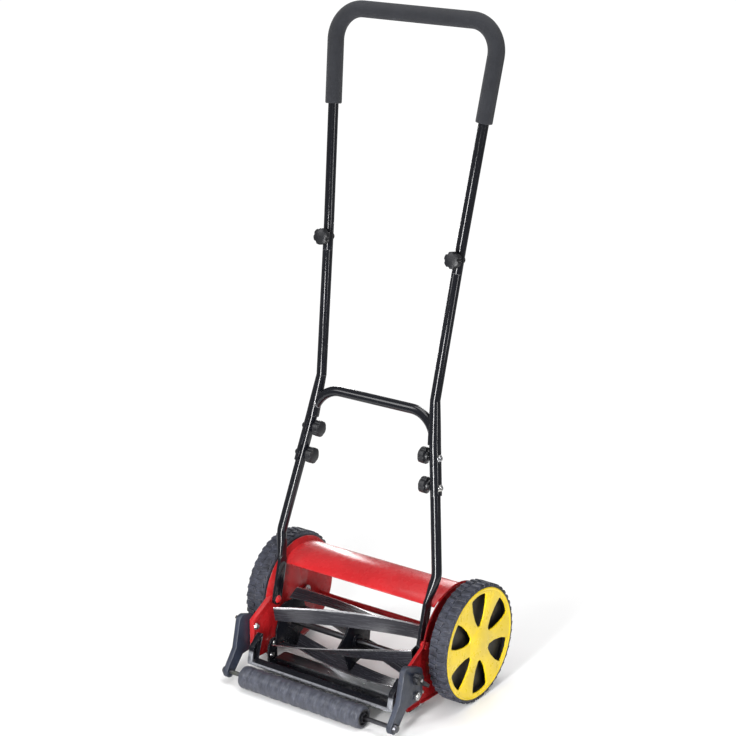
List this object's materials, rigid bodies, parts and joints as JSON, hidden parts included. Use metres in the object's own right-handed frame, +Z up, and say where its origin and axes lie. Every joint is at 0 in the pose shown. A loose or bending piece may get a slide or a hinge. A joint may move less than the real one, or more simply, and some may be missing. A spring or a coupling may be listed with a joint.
{
  "type": "reel mower",
  "caption": "Push reel mower: a helical blade reel geared to both wheels, a bed knife, a rear height roller on swinging arms and a folding tube handle with a foam grip.",
  "frame": {"origin": "on the ground midway between the wheels, straight below the wheel axle", "axes": "+Y is the direction of travel, away from the operator; +X is the operator's right, along the wheel axle; +Z is up"},
  "size_m": [0.438, 0.3493, 1.1775],
  "materials": {
    "tyre_rubber": "ribbed dark rubber",
    "yellow_plastic": "glossy moulded",
    "black_plastic": "satin moulded",
    "bronze": "oil-impregnated sintered",
    "zinc_steel": "bright zinc plated",
    "red_paint": "gloss enamel",
    "black_paint": "gloss powder coat",
    "blade_steel": "ground edges, oiled faces",
    "gear_steel": "greased cut teeth",
    "arm_iron": "blue-black satin paint",
    "roller_plastic": "satin moulded, grass worn",
    "knob_plastic": "fine moulded texture",
    "foam": "closed-cell foam sleeve"
  },
  "bodies": {
    "frame": {"side_plate_left": "red_paint", "side_plate_right": "red_paint", "cover_bar": "red_paint", "cover_screws": "red_paint", "tie_bar": "red_paint", "tie_bar_nuts": "zinc_steel", "bed_bar": "black_paint", "bed_bar_bolts": "zinc_steel", "bed_knife": "blade_steel", "bed_knife_screws": "zinc_steel", "wheel_axle_left": "zinc_steel", "wheel_axle_right": "zinc_steel", "axle_nuts": "zinc_steel", "reel_bearing_left": "bronze", "reel_bearing_right": "bronze", "handle_pivot_bolts": "red_paint", "roller_pivot_bolts": "zinc_steel", "roller_clamp_bolts": "zinc_steel"},
    "wheel_right": {"tyre_right": "tyre_rubber", "wheel_right": "black_plastic", "wheel_cap_right": "yellow_plastic", "wheel_bush_right": "bronze"},
    "wheel_left": {"tyre_left": "tyre_rubber", "wheel_left": "black_plastic", "wheel_cap_left": "yellow_plastic", "wheel_bush_left": "bronze"},
    "reel": {"reel_shaft": "zinc_steel", "reel_spider_left": "black_paint", "reel_spider_middle": "black_paint", "reel_spider_right": "black_paint", "reel_blade_1": "blade_steel", "reel_blade_2": "blade_steel", "reel_blade_3": "blade_steel", "reel_blade_4": "blade_steel", "reel_blade_5": "blade_steel", "pinion_left": "gear_steel", "pinion_right": "gear_steel", "pinion_pawls": "zinc_steel", "pinion_circlips": "zinc_steel"},
    "roller_frame": {"roller_arm_left": "arm_iron", "roller_arm_right": "arm_iron", "roller_axle": "zinc_steel"},
    "roller": {"roller": "roller_plastic"},
    "handle": {"lower_bracket": "black_paint", "mid_tube_left": "black_paint", "mid_tube_right": "black_paint", "upper_handle": "black_paint", "foam_grip": "foam", "knob_bolts": "zinc_steel"},
    "height_knob_left": {"height_knob_left": "knob_plastic"},
    "leg_knob_a_left": {"leg_knob_a_left": "knob_plastic"},
    "leg_knob_b_left": {"leg_knob_b_left": "knob_plastic"},
    "lap_knob_left": {"lap_knob_left": "knob_plastic"},
    "height_knob_right": {"height_knob_right": "knob_plastic"},
    "leg_knob_a_right": {"leg_knob_a_right": "knob_plastic"},
    "leg_knob_b_right": {"leg_knob_b_right": "knob_plastic"},
    "lap_knob_right": {"lap_knob_right": "knob_plastic"}
  },
  "joints": [
    {"name": "wheel_right_spin", "type": "hinge", "parent": "frame", "child": "wheel_right", "pos_m": [0.2, 0, 0.1075], "axis": [1, 0, 0], "continuous": true},
    {"name": "wheel_left_spin", "type": "hinge", "parent": "frame", "child": "wheel_left", "pos_m": [-0.2, 0, 0.1075], "axis": [1, 0, 0], "continuous": true},
    {"name": "reel_spin", "type": "hinge", "parent": "frame", "child": "reel", "pos_m": [0, -0.0655, 0.0764], "axis": [1, 0, 0], "continuous": true},
    {"name": "roller_height", "type": "hinge", "parent": "frame", "child": "roller_frame", "pos_m": [0, -0.143, 0.056], "axis": [1, 0, 0], "range_deg": [-5, 12]},
    {"name": "roller_spin", "type": "hinge", "parent": "roller_frame", "child": "roller", "pos_m": [-0.012, -0.205, 0.0205], "axis": [1, 0, 0], "continuous": true},
    {"name": "handle_fold", "type": "hinge", "parent": "frame", "child": "handle", "pos_m": [0, -0.092, 0.125], "axis": [1, 0, 0], "range_deg": [0, 90]},
    {"name": "height_knob_right_turn", "type": "hinge", "parent": "frame", "child": "height_knob_right", "pos_m": [0.19, -0.143, 0.088], "axis": [1, 0, 0], "continuous": true},
    {"name": "leg_knob_a_right_turn", "type": "hinge", "parent": "handle", "child": "leg_knob_a_right", "pos_m": [0.11653, -0.02212, 0.44], "axis": [1, 0, 0], "continuous": true},
    {"name": "leg_knob_b_right_turn", "type": "hinge", "parent": "handle", "child": "leg_knob_b_right", "pos_m": [0.12519, -0.03214, 0.391], "axis": [1, 0, 0], "continuous": true},
    {"name": "lap_knob_right_turn", "type": "hinge", "parent": "handle", "child": "lap_knob_right", "pos_m": [0.13747, 0.02216, 0.77717], "axis": [0, -0.9843, 0.1763], "continuous": true},
    {"name": "height_knob_left_turn", "type": "hinge", "parent": "frame", "child": "height_knob_left", "pos_m": [-0.19, -0.143, 0.088], "axis": [1, 0, 0], "continuous": true},
    {"name": "leg_knob_a_left_turn", "type": "hinge", "parent": "handle", "child": "leg_knob_a_left", "pos_m": [-0.11653, -0.02212, 0.44], "axis": [1, 0, 0], "continuous": true},
    {"name": "leg_knob_b_left_turn", "type": "hinge", "parent": "handle", "child": "leg_knob_b_left", "pos_m": [-0.12519, -0.03214, 0.391], "axis": [1, 0, 0], "continuous": true},
    {"name": "lap_knob_left_turn", "type": "hinge", "parent": "handle", "child": "lap_knob_left", "pos_m": [-0.13747, 0.02216, 0.77717], "axis": [0, -0.9843, 0.1763], "continuous": true}
  ],
  "couplings": [
    {"joint": "wheel_left_spin", "follows": "wheel_right_spin", "ratio": 1},
    {"joint": "reel_spin", "follows": "wheel_right_spin", "ratio": 5.8333}
  ]
}
